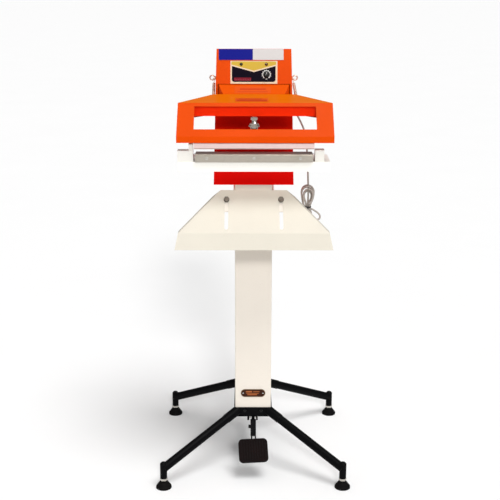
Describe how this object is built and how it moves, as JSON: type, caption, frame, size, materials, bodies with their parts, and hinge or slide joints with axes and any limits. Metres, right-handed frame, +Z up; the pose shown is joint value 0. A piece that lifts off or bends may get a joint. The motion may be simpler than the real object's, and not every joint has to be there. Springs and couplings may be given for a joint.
{
  "type": "pedestal impulse heat sealer",
  "caption": "Foot-operated impulse heat sealer on a square column with splayed legs: hinged press head, lower sealing jaw, sloping work tray, timer panel and treadle.",
  "frame": {"origin": "floor level, centre of the four levelling feet", "axes": "+Z up; -Y towards the operator (front); +X to the operator's right"},
  "size_m": [0.554, 0.554, 1.2215],
  "materials": {
    "orange_paint": "gloss orange powder coat",
    "cream_paint": "cream powder coat",
    "black_paint": "black powder coat",
    "sign_blue": "blank dark blue enamel plate",
    "sign_white": "blank white enamel plate",
    "control_label": "black and yellow printed panel without text",
    "name_brass": "dark brass name plate, blank",
    "lamp_amber": "dark amber lens",
    "knob_black": "moulded black knob",
    "zinc_steel": "zinc plated steel",
    "spring_steel": "drawn spring wire",
    "aluminium": "extruded aluminium",
    "chrome": "bright chrome",
    "core_steel": "laminated core",
    "coil_yellow": "coil wrapped in yellow film",
    "board_green": "circuit board with parts",
    "element_wire": "flat resistance ribbon",
    "ptfe_fabric": "tan PTFE coated glass cloth",
    "silicone": "soft pale silicone strip",
    "terminal_white": "white insulating block",
    "pedal_rubber": "ribbed black rubber",
    "foot_rubber": "black moulded rubber",
    "cord_grey": "grey flexible mains cord",
    "plug_black": "moulded plug"
  },
  "bodies": {
    "root": {"leg_front_left": "black_paint", "leg_front_right": "black_paint", "leg_rear_left": "black_paint", "leg_rear_right": "black_paint", "foot_lock_nuts": "zinc_steel", "base_frame": "black_paint", "pedal_bracket": "black_paint", "pedal_pivot_pin": "zinc_steel", "column_shell": "cream_paint", "column_rear_cover": "cream_paint", "nameplate": "name_brass", "housing_shell": "orange_paint", "housing_floor": "orange_paint", "housing_rear_cover": "orange_paint", "sign_plate_left": "sign_blue", "sign_plate_right": "sign_white", "control_label": "control_label", "indicator_lamps": "lamp_amber", "timer_spindle": "zinc_steel", "circuit_board": "board_green", "transformer_core": "core_steel", "transformer_coil": "coil_yellow", "pivot_shaft": "zinc_steel", "spring_pegs": "zinc_steel", "return_spring_left": "spring_steel", "return_spring_right": "spring_steel", "lower_jaw_body": "cream_paint", "lower_jaw_bar": "aluminium", "clamp_strips": "aluminium", "heating_element": "element_wire", "ptfe_tape": "ptfe_fabric", "element_terminals": "terminal_white", "tray_bracket": "black_paint", "tray_bolts": "zinc_steel", "frame_screws": "zinc_steel", "cord_gland": "plug_black", "cord_upper": "cord_grey", "cord_hank": "cord_grey", "cord_tail": "cord_grey", "cord_tie": "plug_black", "plug": "plug_black"},
    "press_arm": {"press_arm": "orange_paint", "arm_crossbar": "zinc_steel", "press_head": "orange_paint"},
    "upper_jaw": {"upper_jaw_bar": "aluminium", "silicone_strip": "silicone", "jaw_stud": "chrome"},
    "pedal": {"pedal_lever": "black_paint", "pedal_block": "black_paint", "clevis_pin": "zinc_steel", "pedal_plate": "black_paint", "pedal_pad": "pedal_rubber"},
    "pull_rod": {"pull_rod": "zinc_steel", "rod_clevis": "zinc_steel"},
    "timer_knob": {"timer_knob": "knob_black"},
    "tray": {"tray_plate": "cream_paint"},
    "foot_front_left": {"foot_front_left": "foot_rubber"},
    "foot_front_right": {"foot_front_right": "foot_rubber"},
    "foot_rear_left": {"foot_rear_left": "foot_rubber"},
    "foot_rear_right": {"foot_rear_right": "foot_rubber"}
  },
  "joints": [
    {"name": "press_arm_hinge", "type": "hinge", "parent": "root", "child": "press_arm", "pos_m": [0, 0.08, 1.06], "axis": [1, 0, 0], "range_deg": [0, 2.2], "stiffness_Nm_per_rad": 60, "springref_deg": -20.05, "deforming": ["return_spring_left", "return_spring_right"]},
    {"name": "pedal_hinge", "type": "hinge", "parent": "root", "child": "pedal", "pos_m": [0, -0.015, 0.138], "axis": [1, 0, 0], "range_deg": [0, 8.3]},
    {"name": "pull_rod_slide", "type": "slide", "parent": "root", "child": "pull_rod", "axis": [0, 0, -1], "range_m": [0, 0.0052]},
    {"name": "upper_jaw_float", "type": "slide", "parent": "press_arm", "child": "upper_jaw", "axis": [0, 0, 1], "range_m": [0, 0.005], "stiffness_N_per_m": 2000, "springref_m": -0.01},
    {"name": "timer_knob_turn", "type": "hinge", "parent": "root", "child": "timer_knob", "pos_m": [0.0339, -0.10319, 1.15374], "axis": [0, -0.9816, 0.191], "range_deg": [-150, 150]},
    {"name": "tray_adjust", "type": "slide", "parent": "root", "child": "tray", "axis": [0, 0.738, 0.6748], "range_m": [0, 0.05]},
    {"name": "foot_front_left_level", "type": "slide", "parent": "root", "child": "foot_front_left", "axis": [0, 0, -1], "range_m": [-0.003, 0.01]},
    {"name": "foot_front_right_level", "type": "slide", "parent": "root", "child": "foot_front_right", "axis": [0, 0, -1], "range_m": [-0.003, 0.01]},
    {"name": "foot_rear_left_level", "type": "slide", "parent": "root", "child": "foot_rear_left", "axis": [0, 0, -1], "range_m": [-0.003, 0.01]},
    {"name": "foot_rear_right_level", "type": "slide", "parent": "root", "child": "foot_rear_right", "axis": [0, 0, -1], "range_m": [-0.003, 0.01]}
  ],
  "couplings": [
    {"joint": "pedal_hinge", "follows": "press_arm_hinge", "ratio": 3.7143},
    {"joint": "pull_rod_slide", "follows": "press_arm_hinge", "m_per_rad": 0.13}
  ]
}
